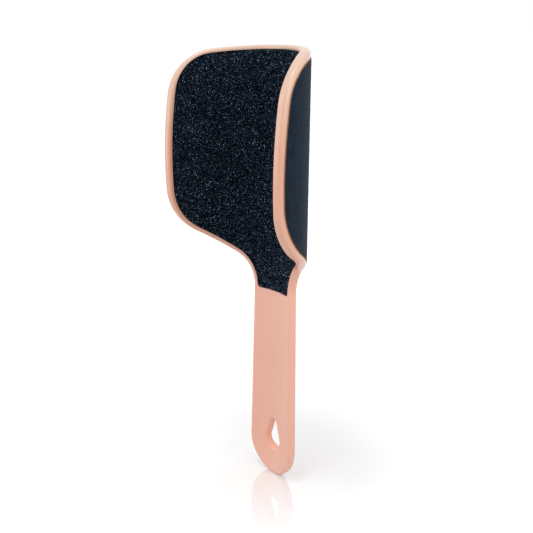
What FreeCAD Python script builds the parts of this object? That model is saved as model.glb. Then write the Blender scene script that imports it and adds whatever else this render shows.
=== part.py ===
import FreeCAD, Part
import math
import os

import Sketcher

# A two-sided foot file: a moulded paddle whose half-round head carries an abrasive sheet on each face.
# The paddle and its sheets are flat blanks laid round one cylinder, so they are drawn flat and wrapped.
# Heights are measured from the centre of the hanging hole, which is the origin on the hollow face.
# +Z runs up the handle to the head, and the hollow side of the head faces -Y.

V = FreeCAD.Vector
V2 = FreeCAD.Base.Vector2d
UP = V(0, 0, 1)
RIGHT = V(1, 0, 0)

# alias, millimetres or degrees, meaning
SIZES = (
    ("heel_radius", 39, "hollow face of the half-round"),
    ("wall", 4.9, "thickness of the paddle"),
    ("head_top", 218.2, "hole centre up to the crown"),
    ("tip_drop", 21.8, "hole centre down to the tip"),
    ("crown_radius", 304, "gentle curve of the top edge"),
    ("top_corner", 26.5, "upper corners of the head"),
    ("bow_radius", 240, "gentle curve of the long edges"),
    ("bow_height", 158.3, "where the head is widest"),
    ("low_corner", 29.8, "lower corners of the head"),
    ("shoulder_slope", 29.5, "degrees, shoulders against the level"),
    ("shoulder_height", 102.9, "shoulder line where it meets the handle line"),
    ("neck_radius", 20.3, "hollow curve from shoulder to handle"),
    ("neck_half", 13.8, "half width of the handle at the shoulder line"),
    ("handle_half", 16.5, "half width of the handle line at tip height"),
    ("flank_radius", 24, "curve from the handle sides to the tip"),
    ("tip_radius", 12.1, "end of the handle"),
    ("hollow_round", 1.2, "rounding of the outer edge towards the hollow face"),
    ("back_round", 1.8, "rounding of the outer edge towards the back"),
    ("coarse_rim", 2.25, "rim at the sides of the coarse bed"),
    ("coarse_crown_rim", 1.9, "rim above the coarse bed"),
    ("coarse_top_corner", 22.7, "upper corners of the coarse bed"),
    ("coarse_low_corner", 27.5, "lower corners of the coarse bed"),
    ("fine_rim", 2.65, "rim at the sides of the fine bed"),
    ("fine_crown_rim", 3.7, "rim above the fine bed"),
    ("fine_top_corner", 20.5, "upper corners of the fine bed"),
    ("fine_low_corner", 33, "lower corners of the fine bed"),
    ("lip_bevel", 0.15, "bevel of the rims towards the sheets"),
    ("end_drop", 0.8, "lower end of the beds below the centre of the neck curve"),
    ("end_corner", 1.8, "corners at the lower end of the beds"),
    ("fit_gap", 0.15, "clearance of the sheets in their beds"),
    ("adhesive", 0.2, "adhesive film under both sheets"),
    ("coarse_backing", 0.4, "cloth backing, coarse side"),
    ("coarse_grit", 0.6, "grit coat, coarse side"),
    ("coarse_proud", 0.2, "coarse grit above its rim"),
    ("fine_backing", 0.5, "cloth backing, fine side"),
    ("fine_grit", 0.2, "grit coat, fine side"),
    ("fine_proud", 0.5, "fine grit above its rim"),
    ("hole_radius", 4.8, "round end of the hanging hole"),
    ("hole_rise", 10.8, "hole centre up to the centre of its narrow end"),
    ("hole_tip", 1.7, "narrow end of the hanging hole"),
    ("hole_round", 1.9, "rounding of the mouths of the hanging hole"),
    ("overrun", 1, "how far a cut runs past a face"),
)

ROUND_BANDS = 4

doc = FreeCAD.newDocument("foot_file")
sheet = doc.addObject("Spreadsheet::Sheet", "Sizes")
for row, (alias, value, meaning) in enumerate(SIZES, 1):
    sheet.set(f"A{row}", str(value))
    sheet.setAlias(f"A{row}", alias)
    sheet.set(f"B{row}", meaning)
doc.recompute()


def unit(vector):
    return vector * (1 / vector.Length)


def left_of(direction):
    """The direction a quarter turn to the left, in the plane of the flat blank."""
    return V(-direction.z, 0, direction.x)


def on_line(start, direction, centre, reach):
    """The point at a distance from a centre, as far along a line as there is one."""
    offset = start - centre
    along = offset.dot(direction)
    return start + direction * (math.sqrt(along ** 2 - offset.dot(offset) + reach ** 2) - along)


def left_between(first, first_reach, second, second_reach):
    """The point at two distances from two centres, on the left of the way between them."""
    way = second - first
    along = (first_reach ** 2 - second_reach ** 2 + way.Length ** 2) / (2 * way.Length)
    across = math.sqrt(first_reach ** 2 - along ** 2)
    return first + unit(way) * along + left_of(unit(way)) * across


def half_outline(plate, gap):
    """Arcs of the right half of a plate's flat blank from the crown down, set in by a gap.

    Each is a centre, a radius and the directions from the centre to its two ends. Where one arc's end
    isn't the next one's start, a straight line joins them.
    """
    sizes = plate.Table
    rim = plate.Rim.Value
    crown_rim = plate.CrownRim.Value
    top_radius = plate.TopCorner.Value
    low_radius = plate.LowCorner.Value
    quarter_turn = sizes.heel_radius * math.pi / 2
    crown = UP * (sizes.head_top - sizes.crown_radius)
    bow = V(quarter_turn - sizes.bow_radius, 0, sizes.bow_height)
    top_corner = left_between(bow, sizes.bow_radius - rim - top_radius,
                              crown, sizes.crown_radius - crown_rim - top_radius)

    slope = math.radians(sizes.shoulder_slope)
    outward = V(math.cos(slope), 0, math.sin(slope))
    inward = left_of(outward)
    bend = V(sizes.neck_half, 0, sizes.shoulder_height)
    downward = unit(V(sizes.handle_half, 0, -sizes.tip_drop) - bend)
    sideways = left_of(downward)
    low_corner = on_line(bend + inward * (rim + low_radius), outward,
                         bow, sizes.bow_radius - rim - low_radius)
    half_angle_sine = math.sqrt((1 - outward.dot(downward)) / 2)
    neck = bend + unit(outward + downward) * (sizes.neck_radius / half_angle_sine)
    neck_reach = sizes.neck_radius + rim + gap

    crown_to_corner = unit(top_corner - crown)
    corner_to_bow = unit(top_corner - bow)
    bow_to_corner = unit(low_corner - bow)
    arcs = [
        (crown, sizes.crown_radius - crown_rim - gap, UP, crown_to_corner),
        (top_corner, top_radius - gap, crown_to_corner, corner_to_bow),
        (bow, sizes.bow_radius - rim - gap, corner_to_bow, bow_to_corner),
        (low_corner, low_radius - gap, bow_to_corner, -inward),
    ]
    if plate.WithHandle:
        tip = UP * (sizes.tip_radius - sizes.tip_drop)
        flank = on_line(bend - sideways * sizes.flank_radius, -downward,
                        tip, sizes.flank_radius - sizes.tip_radius)
        flank_to_tip = unit(tip - flank)
        arcs += [
            (neck, neck_reach, inward, -sideways),
            (flank, sizes.flank_radius - gap, sideways, flank_to_tip),
            (tip, sizes.tip_radius - gap, flank_to_tip, -UP),
        ]
    else:
        corner_radius = sizes.end_corner - gap
        corner_height = gap + corner_radius - sizes.end_drop
        corner_reach = neck_reach + corner_radius
        corner_side = math.sqrt(corner_reach ** 2 - corner_height ** 2)
        end_corner = neck + UP * corner_height - RIGHT * corner_side
        neck_to_corner = unit(end_corner - neck)
        arcs += [
            (neck, neck_reach, inward, neck_to_corner),
            (end_corner, corner_radius, -neck_to_corner, -UP),
        ]
    return arcs


def flat_blank(arcs):
    """The closed outline of a flat blank, from the arcs of its right half."""
    curves = []
    ends = []
    for side in (1, -1):
        last = None
        for centre, radius, first_way, last_way in arcs:
            ways = (first_way, unit(first_way + last_way), last_way)
            spots = [centre + way * radius for way in ways]
            first, middle, final = [V(spot.x * side, 0, spot.z) for spot in spots]
            if last and not first.isEqual(last, Part.Precision.confusion()):
                curves.append(Part.LineSegment(last, first))
            curves.append(Part.Arc(first, middle, final))
            last = final
        ends.append(last)
    if not ends[0].isEqual(ends[-1], Part.Precision.confusion()):
        curves.append(Part.LineSegment(ends[0], ends[-1]))
    return curves


def cylinder_about(blank_radius, radius):
    """A cylinder on the axis of the half-round, with its half turn at the back of the paddle."""
    cylinder = Part.Cylinder()
    cylinder.Radius = radius
    cylinder.rotate(FreeCAD.Placement(V(), FreeCAD.Rotation(UP, -90)))
    cylinder.Center = V(0, -blank_radius, 0)
    return cylinder


def laid_edges(curves, blank_radius, cylinder):
    """The outline of a flat blank laid on a cylinder, an edge for each of its curves."""
    edges = []
    for curve in curves:
        spline = curve.toBSpline()
        poles = [V2(math.pi - pole.x / blank_radius, pole.z) for pole in spline.getPoles()]
        laid = Part.Geom2d.BSplineCurve2d()
        laid.buildFromPolesMultsKnots(poles, spline.getMultiplicities(), spline.getKnots(),
                                      False, spline.Degree, spline.getWeights())
        edges.append(laid.toShape(cylinder))
    return edges


def laid_face(edges, cylinder):
    face = Part.Face(cylinder, Part.Wire(Part.__sortEdges__(edges)))
    face.validate()
    return face


def edge_lines(rounding, flare):
    """Inset and depth of the lines along one edge of a plate, from its face to its wall.

    A rounded edge is a row of narrow bands. A flared one widens to the face at half a right angle.
    """
    if rounding:
        turns = [band * math.pi / 2 / ROUND_BANDS for band in range(ROUND_BANDS + 1)]
        return [(rounding * (1 - math.sin(turn)), rounding * (1 - math.cos(turn))) for turn in turns]
    if flare:
        return [(-flare, 0), (0, flare)]
    return [(0, 0)]


class WrappedPlate:
    """A flat blank laid round the half-round, as thick as the step between its two radii."""

    def __init__(self, plate):
        plate.addProperty("App::PropertyLink", "Table", "Blank", "sheet with the sizes of the outline")
        plate.addProperty("App::PropertyBool", "WithHandle", "Blank", "head and handle, or head only")
        for name in ("InnerRadius", "OuterRadius", "Rim", "CrownRim", "TopCorner", "LowCorner", "Gap",
                     "InnerRound", "OuterRound", "InnerFlare", "OuterFlare"):
            plate.addProperty("App::PropertyLength", name, "Blank", "bound to the sheet")
        plate.Proxy = self

    def execute(self, plate):
        inner = edge_lines(plate.InnerRound.Value, plate.InnerFlare.Value)
        outer = edge_lines(plate.OuterRound.Value, plate.OuterFlare.Value)
        lines = [(inset, plate.InnerRadius.Value + depth) for inset, depth in inner]
        lines += [(inset, plate.OuterRadius.Value - depth) for inset, depth in reversed(outer)]
        blank_radius = plate.Table.heel_radius
        cylinders = [cylinder_about(blank_radius, radius) for inset, radius in lines]
        rings = []
        for (inset, radius), cylinder in zip(lines, cylinders):
            arcs = half_outline(plate, plate.Gap.Value + inset)
            rings.append(laid_edges(flat_blank(arcs), blank_radius, cylinder))
        faces = [laid_face(rings[end], cylinders[end]) for end in (0, -1)]
        for ring, next_ring in zip(rings, rings[1:]):
            faces += [Part.makeRuledSurface(*pair) for pair in zip(ring, next_ring)]
        shell = Part.makeShell(faces)
        shell.sewShape()
        solid = Part.makeSolid(shell)
        if solid.Orientation == "Reversed":
            shell.reverse()
            solid = Part.makeSolid(shell)
        plate.Shape = solid


def wrapped_plate(name, with_handle=False, **bindings):
    plate = doc.addObject("Part::FeaturePython", name)
    plate.Label = name
    WrappedPlate(plate)
    plate.Table = sheet
    plate.WithHandle = with_handle
    for size, formula in bindings.items():
        plate.setExpression(size, formula)
    return plate


# The moulded paddle: a rounded blank with a bed sunk into each face of the head.
EDGE_OUTLINE = {"TopCorner": "Sizes.top_corner", "LowCorner": "Sizes.low_corner"}
COARSE_OUTLINE = {"Rim": "Sizes.coarse_rim", "CrownRim": "Sizes.coarse_crown_rim",
                  "TopCorner": "Sizes.coarse_top_corner", "LowCorner": "Sizes.coarse_low_corner"}
FINE_OUTLINE = {"Rim": "Sizes.fine_rim", "CrownRim": "Sizes.fine_crown_rim",
                "TopCorner": "Sizes.fine_top_corner", "LowCorner": "Sizes.fine_low_corner"}
HOLLOW_FACE = "Sizes.heel_radius"
BACK_FACE = "Sizes.heel_radius + Sizes.wall"
COARSE_TOP = f"{HOLLOW_FACE} - Sizes.coarse_proud"
COARSE_CLOTH = f"{COARSE_TOP} + Sizes.coarse_grit"
COARSE_FILM = f"{COARSE_CLOTH} + Sizes.coarse_backing"
COARSE_FLOOR = f"{COARSE_FILM} + Sizes.adhesive"
FINE_TOP = f"{BACK_FACE} + Sizes.fine_proud"
FINE_CLOTH = f"{FINE_TOP} - Sizes.fine_grit"
FINE_FILM = f"{FINE_CLOTH} - Sizes.fine_backing"
FINE_FLOOR = f"{FINE_FILM} - Sizes.adhesive"
MOUTH_FLARE = "Sizes.lip_bevel + Sizes.overrun"

blank = wrapped_plate("paddle_blank", with_handle=True, InnerRadius=HOLLOW_FACE, OuterRadius=BACK_FACE,
                      InnerRound="Sizes.hollow_round", OuterRound="Sizes.back_round", **EDGE_OUTLINE)
coarse_bed = wrapped_plate("coarse_bed", InnerRadius=f"{HOLLOW_FACE} - Sizes.overrun",
                           OuterRadius=COARSE_FLOOR, InnerFlare=MOUTH_FLARE, **COARSE_OUTLINE)
fine_bed = wrapped_plate("fine_bed", InnerRadius=FINE_FLOOR, OuterRadius=f"{BACK_FACE} + Sizes.overrun",
                         OuterFlare=MOUTH_FLARE, **FINE_OUTLINE)

beds = doc.addObject("Part::MultiFuse", "beds")
beds.Shapes = [coarse_bed, fine_bed]
bedded = doc.addObject("Part::Cut", "bedded_paddle")
bedded.Base = blank
bedded.Tool = beds
doc.recompute()

# The hanging hole, a drop drawn on the XZ plane with its round end at the origin and its narrow end up.
paddle = doc.addObject("PartDesign::Body", "moulded_paddle")
paddle.BaseFeature = bedded
doc.recompute()
plane = next(item for item in paddle.Origin.OriginFeatures if item.Role == "XZ_Plane")
drop = paddle.newObject("Sketcher::SketchObject", "hole_drop")
drop.AttachmentSupport = [(plane, "")]
drop.MapMode = "FlatFace"

lean = math.asin((sheet.hole_radius - sheet.hole_tip) / sheet.hole_rise)
narrow = V(0, sheet.hole_rise, 0)
touch = V(math.cos(lean), math.sin(lean), 0)
mirrored_touch = V(-touch.x, touch.y, 0)
normal = V(0, 0, 1)
drop.addGeometry([
    Part.ArcOfCircle(Part.Circle(V(), normal, sheet.hole_radius), math.pi - lean, 2 * math.pi + lean),
    Part.LineSegment(touch * sheet.hole_radius, narrow + touch * sheet.hole_tip),
    Part.ArcOfCircle(Part.Circle(narrow, normal, sheet.hole_tip), lean, math.pi - lean),
    Part.LineSegment(narrow + mirrored_touch * sheet.hole_tip, mirrored_touch * sheet.hole_radius),
], False)
ROUND_END, RIGHT_SIDE, NARROW_END, LEFT_SIDE = range(4)
START, END, CENTRE = range(1, 4)
drop.addConstraint([
    Sketcher.Constraint("Tangent", ROUND_END, END, RIGHT_SIDE, START),
    Sketcher.Constraint("Tangent", RIGHT_SIDE, END, NARROW_END, START),
    Sketcher.Constraint("Tangent", NARROW_END, END, LEFT_SIDE, START),
    Sketcher.Constraint("Tangent", LEFT_SIDE, END, ROUND_END, START),
    Sketcher.Constraint("Coincident", ROUND_END, CENTRE, -1, START),
    Sketcher.Constraint("PointOnObject", NARROW_END, CENTRE, -2),
])
for name, constraint in (
    ("hole_radius", Sketcher.Constraint("Radius", ROUND_END, sheet.hole_radius)),
    ("hole_tip", Sketcher.Constraint("Radius", NARROW_END, sheet.hole_tip)),
    ("hole_rise", Sketcher.Constraint("DistanceY", ROUND_END, CENTRE, NARROW_END, CENTRE, sheet.hole_rise)),
):
    drop.renameConstraint(drop.addConstraint(constraint), name)
    drop.setExpression(f"Constraints.{name}", f"Sizes.{name}")

hole = paddle.newObject("PartDesign::Pocket", "hanging_hole")
hole.Profile = drop
hole.Type = "ThroughAll"
hole.SideType = "Symmetric"
doc.recompute()


def edge_names(shape, wanted):
    return [f"Edge{number}" for number, edge in enumerate(shape.Edges, 1) if wanted(edge)]


def at_hole_mouth(edge):
    """Edges of the hole that lie on the hollow face or the back, not the ones through the wall."""
    box = edge.BoundBox
    inside = max(-box.XMin, box.XMax, -box.ZMin) < sheet.hole_radius + sheet.overrun
    low = box.ZMax < sheet.hole_rise + sheet.hole_tip + sheet.overrun
    return inside and low and box.YLength < sheet.wall / 2


mouths = paddle.newObject("PartDesign::Fillet", "hole_mouths")
mouths.Base = (hole, edge_names(hole.Shape, at_hole_mouth))
mouths.setExpression("Radius", "Sizes.hole_round")
doc.recompute()


# The sheets, each an adhesive film, a cloth backing and a grit coat cut to one outline.
LAYERS = (
    ("coarse_adhesive", COARSE_FILM, COARSE_FLOOR, COARSE_OUTLINE),
    ("coarse_backing", COARSE_CLOTH, COARSE_FILM, COARSE_OUTLINE),
    ("coarse_grit", COARSE_TOP, COARSE_CLOTH, COARSE_OUTLINE),
    ("fine_adhesive", FINE_FLOOR, FINE_FILM, FINE_OUTLINE),
    ("fine_backing", FINE_FILM, FINE_CLOTH, FINE_OUTLINE),
    ("fine_grit", FINE_CLOTH, FINE_TOP, FINE_OUTLINE),
)
layers = [
    wrapped_plate(name, InnerRadius=inner, OuterRadius=outer, Gap="Sizes.fit_gap", **outline)
    for name, inner, outer, outline in LAYERS
]
doc.recompute()

for item in doc.Objects:
    if {"Invalid", "Error"} & set(item.State):
        raise RuntimeError(f"{item.Label} did not build: {item.State}")
if not hole.Shape.Volume < bedded.Shape.Volume < blank.Shape.Volume:
    raise RuntimeError("a cut removed nothing")

os.makedirs("parts", exist_ok=True)
for item in [paddle] + layers:
    if item.Shape.isNull() or not item.Shape.isValid():
        raise RuntimeError(f"{item.Label} is not a valid solid")
    item.Shape.exportStep(f"parts/{item.Label}.step")
    print(item.Label, round(item.Shape.Volume, 1), len(item.Shape.Solids))
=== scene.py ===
import math

import bmesh
import bpy
import numpy as np
from mathutils import Matrix, Vector
from mathutils.geometry import delaunay_2d_cdt
from mathutils.kdtree import KDTree


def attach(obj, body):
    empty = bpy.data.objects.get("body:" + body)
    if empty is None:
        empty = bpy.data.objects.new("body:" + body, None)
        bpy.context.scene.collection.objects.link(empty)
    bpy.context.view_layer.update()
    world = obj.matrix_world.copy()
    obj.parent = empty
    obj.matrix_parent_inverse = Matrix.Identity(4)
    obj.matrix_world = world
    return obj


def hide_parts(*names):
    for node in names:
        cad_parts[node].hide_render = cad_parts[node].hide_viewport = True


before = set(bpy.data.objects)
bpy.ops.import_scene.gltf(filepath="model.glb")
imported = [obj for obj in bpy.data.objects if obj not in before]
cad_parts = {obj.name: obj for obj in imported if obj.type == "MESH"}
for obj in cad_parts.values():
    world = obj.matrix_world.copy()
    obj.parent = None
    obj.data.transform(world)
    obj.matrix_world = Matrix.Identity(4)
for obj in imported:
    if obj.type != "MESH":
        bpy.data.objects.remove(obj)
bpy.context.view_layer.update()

# A foot file: a pink moulded paddle with coarse grit in its half-round hollow and fine grit on its back.
# Shapes are worked out in millimetres, in the CAD's frame, and scaled to metres as a mesh is made.
# Flat points have the way round the hollow and the height as their coordinates.
MM = 0.001

# The paddle's two faces, and the rounding of its edge and of the beds' lips
HEEL_RADIUS = 39.0
BACK_RADIUS = 43.9
HOLLOW_ROUND = 1.2
BACK_ROUND = 1.8
LIP = 0.15

# The paddle's flat outline
HEAD_TOP = 218.2
CROWN_RADIUS = 304
BOW_RADIUS = 240
BOW_HEIGHT = 158.3
SHOULDER_SLOPE = math.radians(29.5)
SHOULDER_HEIGHT = 102.9
NECK_HALF = 13.8
NECK_RADIUS = 20.3
HANDLE_HALF = 16.5
FLANK_RADIUS = 24
TIP_RADIUS = 12.1
TIP_HEIGHT = -21.8
END_CORNER = 1.8
END_DROP = 0.8

# Each outline is its distance from the paddle's edge at the sides and at the crown,
# and the radii of its upper and lower corners.
EDGE = (0, 0, 26.5, 29.8)
COARSE_BED = (2.25, 1.9, 22.7, 27.5)
FINE_BED = (2.65, 3.7, 20.5, 33)

# Radii of each bed's floor, of its cloth's outer face and of its coat's top, and the sheets' clearance
COARSE_FLOOR, COARSE_CLOTH, COARSE_TOP = 40.0, 39.4, 38.8
FINE_FLOOR, FINE_CLOTH, FINE_TOP = 43.5, 44.2, 44.4
FIT_GAP = 0.15

# The drop-shaped hanging hole: radius of its round end, rise and radius of its tip, and its rounding
HOLE_RADIUS, HOLE_RISE, HOLE_TIP, HOLE_ROUND = 4.8, 10.8, 1.7, 1.9

# The handle has the plastic's own colour. The head is painted darker as painted shade,
# and the crown is painted paler and less red as painted light from above.
PINK_WITH_PAINTED_LIGHT_BY_HEIGHT = (
    (90, (0.785, 0.41, 0.31)),
    (130, (0.705, 0.375, 0.26)),
    (170, (0.69, 0.36, 0.245)),
    (210, (0.705, 0.48, 0.37)),
)

# Coarse grains: the resin lies below the coat's top, and single grains reach a little over it.
# A grain's colour is a random tone times the tint, plus the shade. The tone is partly the grains'
# own and its bright tail is painted glint: the brightest grains are small, stand proud and are pale
# specks in place of facets catching the light. A share of all grains are glossy crystals.
RESIN_DEPTH = 0.3
GRAIN_OVER_TOP = 0.08
GRAIN_OFF_CLOTH = 0.02
GRAIN_OFF_EDGE = 0.1
GRAIN_PITCH = 0.55
GRAIN_KINDS = 24
GRAIN_SIZES = (0.26, 0.43)
GRAIN_STRETCH = (0.75, 1.15)
GRAIN_PROUD = 0.24
TONE_SPREAD = 1.6
TONE_LIMIT = 20
SPARKLE_TONE = 2.4
SPARKLE_SIZE = 0.63
SPARKLE_PROUD = 0.27
CRYSTAL_SHARE = 0.12
GRAIN_TINT = (0.0204, 0.0308, 0.0418, 0.0)
GRAIN_SHADE = (0.0, 0.0018, 0.009, 1)

scene = bpy.context.scene
scene.view_settings.view_transform = "Standard"
rng = np.random.default_rng(180)


def unit(vector):
    return vector / np.linalg.norm(vector)


def left_of(way):
    return np.array([-way[1], way[0]])


def on_line(start, way, centre, reach):
    """The far point of a line at a distance from a centre."""
    offset = start - centre
    along = offset @ way
    return start + way * (math.sqrt(along ** 2 - offset @ offset + reach ** 2) - along)


def left_between(first, first_reach, second, second_reach):
    """The point at two distances from two centres, on the left of the way between them."""
    way = second - first
    length = np.linalg.norm(way)
    along = (first_reach ** 2 - second_reach ** 2 + length ** 2) / (2 * length)
    return first + unit(way) * along + left_of(unit(way)) * math.sqrt(first_reach ** 2 - along ** 2)


def half_arcs(outline):
    """Arcs down an outline's right half: centre, radius, first and last way, and 1, or -1 for a hollow."""
    rim, crown_rim, top_radius, low_radius = outline
    up = np.array([0.0, 1.0])
    crown, crown_radius = up * (HEAD_TOP - CROWN_RADIUS), CROWN_RADIUS - crown_rim
    bow, bow_radius = np.array([HEEL_RADIUS * math.pi / 2 - BOW_RADIUS, BOW_HEIGHT]), BOW_RADIUS - rim
    top_corner = left_between(bow, bow_radius - top_radius, crown, crown_radius - top_radius)
    outward = np.array([math.cos(SHOULDER_SLOPE), math.sin(SHOULDER_SLOPE)])
    inward = left_of(outward)
    bend = np.array([NECK_HALF, SHOULDER_HEIGHT])
    downward = unit(np.array([HANDLE_HALF, TIP_HEIGHT]) - bend)
    sideways = left_of(downward)
    low_corner = on_line(bend + inward * (rim + low_radius), outward, bow, bow_radius - low_radius)
    half_angle_sine = math.sqrt((1 - outward @ downward) / 2)
    neck = bend + unit(outward + downward) * NECK_RADIUS / half_angle_sine
    neck_radius = NECK_RADIUS + rim
    crown_way, bow_way, low_way = unit(top_corner - crown), unit(top_corner - bow), unit(low_corner - bow)
    arcs = [
        (crown, crown_radius, up, crown_way, 1),
        (top_corner, top_radius, crown_way, bow_way, 1),
        (bow, bow_radius, bow_way, low_way, 1),
        (low_corner, low_radius, low_way, -inward, 1),
    ]
    if outline is EDGE:
        tip = up * (TIP_HEIGHT + TIP_RADIUS)
        flank = on_line(bend - sideways * FLANK_RADIUS, -downward, tip, FLANK_RADIUS - TIP_RADIUS)
        tip_way = unit(tip - flank)
        return arcs + [
            (neck, neck_radius, inward, -sideways, -1),
            (flank, FLANK_RADIUS, sideways, tip_way, 1),
            (tip, TIP_RADIUS, tip_way, -up, 1),
        ]
    corner_height = END_CORNER - END_DROP
    corner_reach = neck_radius + END_CORNER
    corner = neck + np.array([-math.sqrt(corner_reach ** 2 - corner_height ** 2), corner_height])
    corner_way = unit(corner - neck)
    return arcs + [
        (neck, neck_radius, inward, corner_way, -1),
        (corner, END_CORNER, -corner_way, -up, 1),
    ]


def flat_outline(outline, pitch):
    """Flat points round an outline, and the ways out of it there."""
    points, ways = [], []

    def run_to(end, way):
        start = points[-1]
        steps = round(np.linalg.norm(end - start) / pitch)
        for step in range(1, steps):
            points.append(start + (end - start) * step / steps)
            ways.append(way)

    for centre, radius, first, last, bulge in half_arcs(outline):
        turn = math.atan2(first[0] * last[1] - first[1] * last[0], first @ last)
        steps = max(2, round(abs(turn) * radius / pitch))
        if points:
            run_to(centre + first * radius, first * bulge)
        touching = points and np.linalg.norm(points[-1] - centre - first * radius) < pitch / 100
        for step in range(1 if touching else 0, steps + 1):
            angle = turn * step / steps
            way = first * math.cos(angle) + left_of(first) * math.sin(angle)
            points.append(centre + way * radius)
            ways.append(way * bulge)
    right = len(points)
    if outline is EDGE:
        right -= 1
    else:
        run_to(points[-1] * (-1, 1), np.array([0.0, -1.0]))
    mirrored = range(right - 1, 0, -1)
    points += [points[index] * (-1, 1) for index in mirrored]
    ways += [ways[index] * (-1, 1) for index in mirrored]
    return np.array(points), np.array(ways)


def wrapped(flat, radius):
    """Flat points laid round the hollow at a radius."""
    turn = flat[:, 0] / HEEL_RADIUS
    return np.stack([radius * np.sin(turn), radius * np.cos(turn) - HEEL_RADIUS, flat[:, 1]], 1)


def inside(flat, loop):
    """Which flat points lie inside a closed loop of flat points."""
    found = np.zeros(len(flat), bool)
    for (x0, z0), (x1, z1) in zip(loop, np.roll(loop, -1, 0)):
        if z0 != z1:
            crossed = (z0 > flat[:, 1]) != (z1 > flat[:, 1])
            found ^= crossed & (flat[:, 0] < x0 + (flat[:, 1] - z0) * (x1 - x0) / (z1 - z0))
    return found


def clear_of(flat, loops, reach):
    """Which flat points keep a distance from every point of some loops."""
    near = np.concatenate(loops)
    tree = KDTree(len(near))
    for index, (x, z) in enumerate(near):
        tree.insert((x, z, 0), index)
    tree.balance()
    return np.array([tree.find((x, z, 0))[2] > reach for x, z in flat])


def scattered(loop, pitch, loose):
    """Flat points on a shaken honeycomb that covers a loop."""
    low, high = loop.min(0) - pitch, loop.max(0) + pitch
    rows = np.arange(low[1], high[1], pitch * math.sqrt(3) / 2)
    columns = np.arange(low[0], high[0], pitch)
    x, z = np.meshgrid(columns, rows)
    x[1::2] += pitch / 2
    flat = np.stack([x.ravel(), z.ravel()], 1)
    flat += rng.uniform(-loose, loose, flat.shape) * pitch
    return flat[inside(flat, loop)]


class Skin:
    """Points in millimetres and the faces between them."""

    def __init__(self):
        self.points, self.faces, self.count = [], [], 0

    def add(self, points):
        first, self.count = self.count, self.count + len(points)
        self.points.append(points)
        return np.arange(first, self.count)

    def strip(self, ring, next_ring):
        """Faces between two closed rings with as many points each."""
        self.faces += zip(ring, np.roll(ring, -1), np.roll(next_ring, -1), next_ring)

    def strips(self, rings):
        for ring, next_ring in zip(rings, rings[1:]):
            self.strip(ring, next_ring)

    def fill(self, rings, flats, spare, spare_points):
        """Covers what is inside the first ring and outside the others, with some spare points in it."""
        flat = np.concatenate(flats + [spare])
        numbers = np.concatenate(rings + [self.add(spare_points)])
        edges, first = [], 0
        for ring in rings:
            around = np.arange(first, first + len(ring))
            edges += zip(around.tolist(), np.roll(around, -1).tolist())
            first += len(ring)
        whole_hull, tolerance = 0, 1e-7
        made = delaunay_2d_cdt([Vector(point) for point in flat], edges, [], whole_hull, tolerance)
        origin = np.array([sources[0] for sources in made[3]])
        corners = origin[np.array(made[2])]
        middles = flat[corners].mean(1)
        kept = inside(middles, flats[0])
        for loop in flats[1:]:
            kept &= ~inside(middles, loop)
        self.faces += [tuple(face) for face in numbers[corners[kept]]]

    def piece(self, name, materials):
        """A new object of the whole skin, which moves with the file."""
        mesh = bpy.data.meshes.new(name)
        places = (np.concatenate(self.points) * MM).tolist()
        mesh.from_pydata(places, [], [[int(corner) for corner in face] for face in self.faces])
        for material in materials:
            mesh.materials.append(material)
        shell = bmesh.new()
        shell.from_mesh(mesh)
        bmesh.ops.recalc_face_normals(shell, faces=shell.faces)
        shell.to_mesh(mesh)
        shell.free()
        piece = bpy.data.objects.new(name, mesh)
        scene.collection.objects.link(piece)
        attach(piece, "root")
        return piece


def quarter(radius, bands):
    """Inset and depth of the lines along a rounded edge, from the face to the wall."""
    turns = np.linspace(0, math.pi / 2, bands + 1)
    return list(zip(radius - radius * np.sin(turns), radius - radius * np.cos(turns)))


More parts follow.
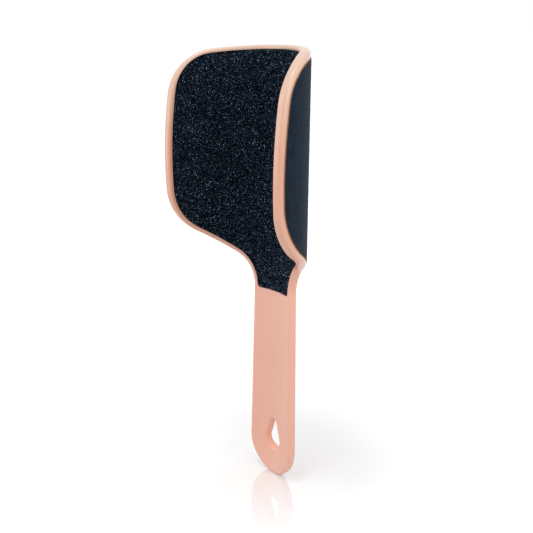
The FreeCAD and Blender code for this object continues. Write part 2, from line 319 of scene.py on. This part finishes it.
# Materials
class Shader:
    """A material with a Principled shader, and its nodes by short calls."""

    def __init__(self, name, **values):
        self.material = bpy.data.materials.new(name)
        self.material.use_nodes = True
        self.nodes = self.material.node_tree.nodes
        self.links = self.material.node_tree.links
        self.surface = self.nodes["Principled BSDF"]
        for socket, value in values.items():
            self.surface.inputs[socket.replace("_", " ")].default_value = value
        self.place = self.nodes.new("ShaderNodeTexCoord").outputs["Object"]

    def noise(self, scale, detail=2.0, rough=0.5):
        node = self.nodes.new("ShaderNodeTexNoise")
        node.inputs["Scale"].default_value = scale
        node.inputs["Detail"].default_value = detail
        node.inputs["Roughness"].default_value = rough
        self.links.new(self.place, node.inputs["Vector"])
        return node.outputs["Fac"]

    def cells(self, scale, output="Color"):
        node = self.nodes.new("ShaderNodeTexVoronoi")
        node.inputs["Scale"].default_value = scale
        self.links.new(self.place, node.inputs["Vector"])
        return node.outputs[output]

    def attribute(self, name, output="Color"):
        node = self.nodes.new("ShaderNodeAttribute")
        node.attribute_name = name
        return node.outputs[output]

    def height(self):
        node = self.nodes.new("ShaderNodeSeparateXYZ")
        self.links.new(self.place, node.inputs["Vector"])
        return node.outputs["Z"]

    def away(self):
        """Distance from the object's origin."""
        node = self.nodes.new("ShaderNodeVectorMath")
        node.operation = "LENGTH"
        self.links.new(self.place, node.inputs[0])
        return node.outputs["Value"]

    def range(self, value, low, high, from_low=0.0, from_high=1.0):
        node = self.nodes.new("ShaderNodeMapRange")
        limits = {"From Min": from_low, "From Max": from_high, "To Min": low, "To Max": high}
        for socket, number in limits.items():
            node.inputs[socket].default_value = number
        self.links.new(value, node.inputs["Value"])
        return node.outputs["Result"]

    def combined(self, operation, first, second):
        node = self.nodes.new("ShaderNodeMath")
        node.operation = operation
        self.links.new(first, node.inputs[0])
        self.links.new(second, node.inputs[1])
        return node.outputs["Value"]

    def ramp(self, value, *stops):
        node = self.nodes.new("ShaderNodeValToRGB")
        band = node.color_ramp
        while len(band.elements) < len(stops):
            band.elements.new(0.5)
        for element, (place, colour) in zip(band.elements, stops):
            element.position, element.color = place, (*colour, 1)
        self.links.new(value, node.inputs["Fac"])
        return node.outputs["Color"]

    def blend(self, share, first, second):
        """A colour between two others, nearer to the second as the share grows to 1."""
        node = self.nodes.new("ShaderNodeMixRGB")
        for value, socket in zip((share, first, second), node.inputs):
            self.links.new(value, socket)
        return node.outputs["Color"]

    def bump(self, *layers):
        """Bumps on top of each other, each a height and its depth in metres."""
        normal = None
        for height, depth in layers:
            node = self.nodes.new("ShaderNodeBump")
            node.inputs["Distance"].default_value = depth
            self.links.new(height, node.inputs["Height"])
            if normal:
                self.links.new(normal, node.inputs["Normal"])
            normal = node.outputs["Normal"]
        self.into("Normal", normal)

    def into(self, socket, value):
        self.links.new(value, self.surface.inputs[socket])


def pink_plastic():
    shader = Shader("pink_plastic", Specular_IOR_Level=0.5)
    clouds = shader.noise(28, detail=3)
    # Painted light and shade: the colour by height darkens the head and pales the crown.
    level = shader.range(shader.height(), 0, 1, 0, HEAD_TOP * MM)
    darker, lighter = (
        shader.ramp(level, *((height / HEAD_TOP, np.array(pink) * tone) for height, pink in PINK_WITH_PAINTED_LIGHT_BY_HEIGHT))
        for tone in (0.98, 1.02)
    )
    pink = shader.blend(shader.range(clouds, 0, 1, 0.3, 0.7), darker, lighter)
    # Painted glow: the hole's wall is painted brighter and more orange, standing in for light shining
    # through and between the plastic's walls.
    painted_hole_glow = shader.ramp(clouds, (0.3, (0.955, 0.46, 0.3)), (0.7, (0.975, 0.485, 0.325)))
    shader.into("Base Color", shader.blend(shader.attribute("painted_glow_share", "Fac"), pink, painted_hole_glow))
    shader.into("Roughness", shader.range(shader.noise(700, detail=4), 0.18, 0.3))
    shader.bump((shader.noise(90), 0.00012), (shader.noise(2600), 0.000006))
    return shader.material


def dull_grain():
    shader = Shader("coarse_grain", Specular_IOR_Level=0.0)
    shader.into("Base Color", shader.attribute("grain"))
    shader.into("Roughness", shader.range(shader.noise(3000, detail=3), 0.4, 0.65))
    return shader.material


def bright_grain():
    shader = Shader("coarse_crystal", Specular_IOR_Level=0.5)
    shader.into("Base Color", shader.attribute("grain"))
    shader.into("Roughness", shader.range(shader.noise(3000, detail=3), 0.14, 0.34))
    return shader.material


def grit_resin():
    shader = Shader("grit_resin", Roughness=0.6, Specular_IOR_Level=0.0)
    clouds = shader.noise(500, detail=3)
    black = shader.ramp(clouds, (0.3, (0.0002, 0.0013, 0.0038)), (0.7, (0.0006, 0.0025, 0.0064)))
    shader.into("Base Color", black)
    shader.bump((shader.noise(1800, detail=3), 0.00015))
    return shader.material


def fine_grain():
    shader = Shader("fine_grain", Specular_IOR_Level=0.05)
    grains = shader.cells(2200)
    dark = shader.ramp(grains, (0.1, (0.0018, 0.0055, 0.0122)), (0.9, (0.0096, 0.0194, 0.0345)))
    light = shader.ramp(grains, (0.1, (0.0036, 0.0096, 0.019)), (0.9, (0.0166, 0.0306, 0.0508)))
    blotches = shader.range(shader.noise(210, detail=4, rough=0.7), 0, 1, 0.35, 0.65)
    shader.into("Base Color", shader.blend(blotches, dark, light))
    shader.into("Roughness", shader.range(shader.noise(2500, detail=3), 0.45, 0.75))
    shader.bump((shader.cells(2600, "Distance"), 0.0001))
    return shader.material


def backing_cloth():
    shader = Shader("backing_cloth", Roughness=0.85)
    threads = shader.noise(1500, detail=4)
    shader.into("Base Color", shader.ramp(threads, (0.3, (0.3, 0.17, 0.07)), (0.7, (0.48, 0.3, 0.14))))
    shader.bump((shader.cells(1400, "Distance"), 0.0001))
    return shader.material


def adhesive_film():
    shader = Shader("adhesive_film")
    clouds = shader.noise(300, detail=3)
    shader.into("Base Color", shader.ramp(clouds, (0.3, (0.7, 0.64, 0.52)), (0.7, (0.8, 0.76, 0.66))))
    shader.into("Roughness", shader.range(shader.noise(600, detail=3), 0.35, 0.6))
    shader.bump((shader.noise(400), 0.0001))
    return shader.material


# The moulded paddle
def drop_outline(offset):
    """Points round the hanging hole, in x and height, with an offset out of it."""
    lean = math.asin((HOLE_RADIUS - HOLE_TIP) / HOLE_RISE)
    round_points, tip_points, side_points = 45, 15, 14

    def arc(radius, rise, start, end, count):
        return [(radius * math.cos(a), rise + radius * math.sin(a)) for a in np.linspace(start, end, count)]

    low = arc(HOLE_RADIUS + offset, 0, math.pi - lean, 2 * math.pi + lean, round_points)
    high = arc(HOLE_TIP + offset, HOLE_RISE, lean, math.pi - lean, tip_points)
    side = np.linspace(0, 1, side_points)[1:-1, None]
    right = np.array(low[-1]) * (1 - side) + np.array(high[0]) * side
    left = np.array(high[-1]) * (1 - side) + np.array(low[0]) * side
    return np.concatenate([low, right, high, left])


def moulded_paddle():
    edge_bands, hole_bands, lip_bands = 8, 6, 4
    edge_pitch, face_pitch, floor_pitch = 1.0, 2.0, 4.0
    face_clearance, floor_clearance = 1.1, 2.0
    skin = Skin()
    edge, ways = flat_outline(EDGE, edge_pitch)
    lines = [(inset, HEEL_RADIUS + depth) for inset, depth in quarter(HOLLOW_ROUND, edge_bands)]
    lines += [(inset, BACK_RADIUS - depth) for inset, depth in reversed(quarter(BACK_ROUND, edge_bands))]
    rings = [skin.add(wrapped(edge - ways * inset, radius)) for inset, radius in lines]
    skin.strips(rings)

    hole_quarter = quarter(HOLE_ROUND, hole_bands)
    hole_lines = [(inset, HEEL_RADIUS, depth) for inset, depth in hole_quarter]
    hole_lines += [(inset, BACK_RADIUS, -depth) for inset, depth in reversed(hole_quarter)]
    hole_rings, hole_flats = [], []
    for inset, radius, depth in hole_lines:
        drop = drop_outline(inset)
        height = np.sqrt(radius ** 2 - drop[:, 0] ** 2) - HEEL_RADIUS + depth
        hole_rings.append(skin.add(np.stack([drop[:, 0], height, drop[:, 1]], 1)))
        hole_flats.append(np.stack([np.arcsin(drop[:, 0] / radius) * HEEL_RADIUS, drop[:, 1]], 1))
    skin.strips(hole_rings)

    for outline, face, floor, rounding, end in (
        (COARSE_BED, HEEL_RADIUS, COARSE_FLOOR, HOLLOW_ROUND, 0),
        (FINE_BED, BACK_RADIUS, FINE_FLOOR, BACK_ROUND, -1),
    ):
        sink = 1 if floor > face else -1
        face_edge = edge - ways * rounding
        bed, bed_ways = flat_outline(outline, edge_pitch)
        lip = reversed(quarter(LIP, lip_bands))
        bed_lines = [(LIP - depth, face + sink * (LIP - inset)) for inset, depth in lip]
        bed_lines.append((0, floor))
        bed_rings = [skin.add(wrapped(bed + bed_ways * wide, radius)) for wide, radius in bed_lines]
        skin.strips(bed_rings)
        mouth = bed + bed_ways * LIP
        loops = [face_edge, mouth, hole_flats[end]]
        spare = scattered(face_edge, face_pitch, loose=0.1)
        spare = spare[~inside(spare, mouth) & ~inside(spare, hole_flats[end])]
        spare = spare[clear_of(spare, loops, face_clearance)]
        skin.fill([rings[end], bed_rings[0], hole_rings[end]], loops, spare, wrapped(spare, face))
        spare = scattered(bed, floor_pitch, loose=0.1)
        spare = spare[clear_of(spare, [bed], floor_clearance)]
        skin.fill([bed_rings[-1]], [bed], spare, wrapped(spare, floor))

    paddle = skin.piece("paddle", [pink_plastic()])
    # The share of painted glow is full on the hole's wall and none on the faces.
    painted_glow_share = np.zeros(skin.count)
    for ring, (_, _, depth) in zip(hole_rings, hole_lines):
        painted_glow_share[ring] = abs(depth) / HOLE_ROUND
    paddle.data.attributes.new("painted_glow_share", "FLOAT", "POINT").data.foreach_set("value", painted_glow_share)
    paddle.data.shade_smooth()
    paddle.data.set_sharp_from_angle(angle=math.radians(50))
    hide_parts("moulded_paddle")


# The abrasive sheets
def shards(count):
    """Small convex crystals, each as its points and its flat facets."""
    corners = 6
    made = []
    for _ in range(count):
        block = bmesh.new()
        for way in rng.normal(size=(corners, 3)):
            block.verts.new(unit(way))
        bmesh.ops.convex_hull(block, input=block.verts)
        block.verts.index_update()
        points = np.array([vert.co for vert in block.verts])
        made.append((points, np.array([[vert.index for vert in face.verts] for face in block.faces])))
        block.free()
    return made


def turns(count):
    """Random rotation matrices."""
    w, x, y, z = rng.normal(size=(count, 4)).T
    w, x, y, z = np.array([w, x, y, z]) / np.sqrt(w * w + x * x + y * y + z * z)
    rows = [
        [1 - 2 * (y * y + z * z), 2 * (x * y - z * w), 2 * (x * z + y * w)],
        [2 * (x * y + z * w), 1 - 2 * (x * x + z * z), 2 * (y * z - x * w)],
        [2 * (x * z - y * w), 2 * (y * z + x * w), 1 - 2 * (x * x + y * y)],
    ]
    return np.array(rows).transpose(2, 0, 1)


def resin_bed(skin, sheet, ways, resin_top):
    """The closed layer that the coarse grains stand in, with a ragged upper edge."""
    ragged_by, pitch, clearance = 0.15, 2.0, 1.0
    cloth = skin.add(wrapped(sheet, COARSE_CLOTH))
    ragged = sheet - ways * rng.uniform(0, ragged_by, (len(sheet), 1))
    top = skin.add(wrapped(ragged, resin_top))
    skin.strip(cloth, top)
    spare = scattered(ragged, pitch, loose=0.2)
    spare = spare[clear_of(spare, [ragged], clearance)]
    skin.fill([top], [ragged], spare, wrapped(spare, resin_top))
    skin.fill([cloth], [sheet], spare, wrapped(spare, COARSE_CLOTH))


def coarse_grains():
    skin = Skin()
    sheet, ways = flat_outline(COARSE_BED, pitch=0.8)
    sheet = sheet - ways * FIT_GAP
    resin_top = COARSE_TOP + RESIN_DEPTH
    resin_bed(skin, sheet, ways, resin_top)
    resin_faces = len(skin.faces)

    kinds = shards(GRAIN_KINDS)
    spots = scattered(sheet - ways * GRAIN_OFF_EDGE, GRAIN_PITCH, loose=0.32)
    count = len(spots)
    tone = np.exp(rng.normal(0, TONE_SPREAD, count))
    # Painted glints: grains of the brightest tones are pale specks standing in for light off facets.
    painted_glint = tone > SPARKLE_TONE
    size = rng.uniform(*GRAIN_SIZES, (count, 1)) * rng.uniform(*GRAIN_STRETCH, (count, 3))
    size[painted_glint] *= SPARKLE_SIZE
    spin = turns(count)
    proud = np.where(painted_glint, SPARKLE_PROUD, rng.uniform(0.0, GRAIN_PROUD, count))
    kind = rng.integers(0, len(kinds), count)
    tones = [np.zeros(skin.count)]
    for number, (points, facets) in enumerate(kinds):
        chosen = np.flatnonzero(kind == number)
        local = np.einsum("nij,npj->npi", spin[chosen], points[None] * size[chosen][:, None])
        flat = spots[chosen][:, None] + local[:, :, :2]
        radius = resin_top - proud[chosen][:, None] + local[:, :, 2]
        radius = np.clip(radius, COARSE_TOP - GRAIN_OVER_TOP, COARSE_CLOTH - GRAIN_OFF_CLOTH)
        first = skin.add(wrapped(flat.reshape(-1, 2), radius.reshape(-1)))[0]
        tones.append(np.repeat(tone[chosen], len(points)))
        every = facets[None] + first + (np.arange(len(chosen)) * len(points))[:, None, None]
        skin.faces += [tuple(face) for face in every.reshape(-1, 3)]

    grains = skin.piece("coarse_grains", [grit_resin(), dull_grain(), bright_grain()])
    slots = [np.zeros(resin_faces, np.int32)]
    for number, (_, facets) in enumerate(kinds):
        crystals = rng.uniform(size=(kind == number).sum()) < CRYSTAL_SHARE
        slots.append(np.repeat(np.where(crystals, 2, 1), len(facets)))
    grains.data.polygons.foreach_set("material_index", np.concatenate(slots).astype(np.int32))
    colours = np.minimum(np.concatenate(tones), TONE_LIMIT)[:, None] * np.array(GRAIN_TINT) + GRAIN_SHADE
    grains.data.attributes.new("grain", "FLOAT_COLOR", "POINT").data.foreach_set("color", colours.ravel())
    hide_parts("coarse_grit")


def fine_grains():
    ragged_by, edge_depth, grain_depth = 0.08, 0.07, 0.13
    grain_pitch, grain_clearance = 0.62, 0.3
    cloth_pitch, cloth_clearance = 4.0, 2.0
    skin = Skin()
    sheet, ways = flat_outline(FINE_BED, pitch=0.6)
    sheet = sheet - ways * FIT_GAP
    cloth = skin.add(wrapped(sheet, FINE_CLOTH))
    ragged = sheet - ways * rng.uniform(0, ragged_by, (len(sheet), 1))
    top = skin.add(wrapped(ragged, FINE_TOP - edge_depth))
    skin.strip(cloth, top)
    spare = scattered(ragged, grain_pitch, loose=0.3)
    spare = spare[clear_of(spare, [ragged], grain_clearance)]
    depth = rng.uniform(0, grain_depth, len(spare))
    skin.fill([top], [ragged], spare, wrapped(spare, FINE_TOP - depth))
    spare = scattered(sheet, cloth_pitch, loose=0.1)
    spare = spare[clear_of(spare, [sheet], cloth_clearance)]
    skin.fill([cloth], [sheet], spare, wrapped(spare, FINE_CLOTH))
    grains = skin.piece("fine_grains", [fine_grain()])
    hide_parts("fine_grit")


def hidden_layers():
    """Materials for the layers under the grains, which stay as the CAD made them."""
    film, cloth = adhesive_film(), backing_cloth()
    for side in ("coarse", "fine"):
        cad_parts[side + "_adhesive"].material_slots[0].material = film
        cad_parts[side + "_backing"].material_slots[0].material = cloth


# Floor, light and camera
def floor():
    """A pale floor, white from a little way off, that mirrors the tip faintly. Lengths are in metres."""
    reach = 8
    near_glow, far_glow, glow_start, glow_end = 0.34, 0.74, 0.04, 0.4
    near_mirror, far_mirror, mirror_end = 0.4, 0.06, 0.06
    mesh = bpy.data.meshes.new("floor")
    corners = [(-reach, -reach, 0), (reach, -reach, 0), (reach, reach, 0), (-reach, reach, 0)]
    mesh.from_pydata(corners, [], [(0, 1, 2, 3)])
    plane = bpy.data.objects.new("floor", mesh)
    plane.location.z = TIP_HEIGHT * MM
    scene.collection.objects.link(plane)

    shader = Shader("floor", Base_Color=(0.7, 0.7, 0.7, 1), Roughness=0.9, Specular_IOR_Level=0.0)
    away = shader.away()
    path = shader.nodes.new("ShaderNodeLightPath")
    seen = shader.combined("MAXIMUM", path.outputs["Is Camera Ray"], path.outputs["Is Glossy Ray"])
    glow = shader.nodes.new("ShaderNodeEmission")
    lift = shader.combined("MULTIPLY", seen, shader.range(away, near_glow, far_glow, glow_start, glow_end))
    shader.links.new(lift, glow.inputs["Strength"])
    both = shader.nodes.new("ShaderNodeAddShader")
    shader.links.new(shader.surface.outputs["BSDF"], both.inputs[0])
    shader.links.new(glow.outputs["Emission"], both.inputs[1])
    polish = shader.nodes.new("ShaderNodeBsdfGlossy")
    polish.inputs["Roughness"].default_value = 0.04
    mix = shader.nodes.new("ShaderNodeMixShader")
    shader.links.new(shader.range(away, near_mirror, far_mirror, 0, mirror_end), mix.inputs["Fac"])
    shader.links.new(both.outputs["Shader"], mix.inputs[1])
    shader.links.new(polish.outputs["BSDF"], mix.inputs[2])
    shader.links.new(mix.outputs["Shader"], shader.nodes["Material Output"].inputs["Surface"])
    mesh.materials.append(shader.material)


def studio():
    """Even light from all round, seen as white, and three soft lamps. Lengths are in metres."""
    world = bpy.data.worlds.new("studio")
    scene.world = world
    world.use_nodes = True
    nodes, links = world.node_tree.nodes, world.node_tree.links
    light = nodes["Background"]
    light.inputs["Color"].default_value = (1, 1, 1, 1)
    light.inputs["Strength"].default_value = 0.6
    white = nodes.new("ShaderNodeBackground")
    white.inputs["Color"].default_value = (1, 1, 1, 1)
    path = nodes.new("ShaderNodeLightPath")
    seen = path.outputs["Is Camera Ray"]
    for ray in ("Is Glossy Ray", "Is Transmission Ray"):
        either = nodes.new("ShaderNodeMath")
        either.operation = "MAXIMUM"
        links.new(seen, either.inputs[0])
        links.new(path.outputs[ray], either.inputs[1])
        seen = either.outputs["Value"]
    mix = nodes.new("ShaderNodeMixShader")
    links.new(seen, mix.inputs["Fac"])
    links.new(light.outputs["Background"], mix.inputs[1])
    links.new(white.outputs["Background"], mix.inputs[2])
    links.new(mix.outputs["Shader"], nodes["World Output"].inputs["Surface"])

    aim = Vector((0, -0.02, 0.1))
    for name, place, size, power in (
        ("left", (-0.68, -0.8, 0.3), 0.8, 3.8),
        ("right", (0.83, -0.1, 0.48), 0.6, 3.4),
        ("top", (0.05, -0.3, 1.04), 0.22, 2.6),
    ):
        lamp = bpy.data.lights.new(name, "AREA")
        lamp.shape = "SQUARE"
        lamp.size, lamp.energy = size, power
        stand = bpy.data.objects.new(name, lamp)
        stand.location = place
        stand.rotation_euler = (aim - stand.location).to_track_quat("-Z", "Y").to_euler()
        scene.collection.objects.link(stand)


def camera():
    """The photograph's view. The focal length and the width of the photograph are in its pixels."""
    turn, rise, roll = math.radians(47.3), math.radians(17.0), math.radians(0.376)
    aside, height, distance = -4.36, 104.21, 404.77
    focal_length, photo_width = 755.88, 533
    back = Vector((math.sin(turn) * math.cos(rise), -math.cos(turn) * math.cos(rise), math.sin(rise)))
    level = Vector((math.cos(turn), math.sin(turn), 0))
    up = back.cross(level)
    right = level * math.cos(roll) + up * math.sin(roll)
    upright = up * math.cos(roll) - level * math.sin(roll)
    place = (level * aside + Vector((0, 0, height)) + back * distance) * MM
    lens = bpy.data.cameras.new("camera")
    lens.sensor_width = 36
    lens.lens = focal_length / photo_width * lens.sensor_width
    lens.clip_start = 0.01
    viewer = bpy.data.objects.new("camera", lens)
    viewer.matrix_world = Matrix.Translation(place) @ Matrix((right, upright, back)).transposed().to_4x4()
    scene.collection.objects.link(viewer)
    scene.camera = viewer


moulded_paddle()
coarse_grains()
fine_grains()
hidden_layers()
floor()
studio()
camera()
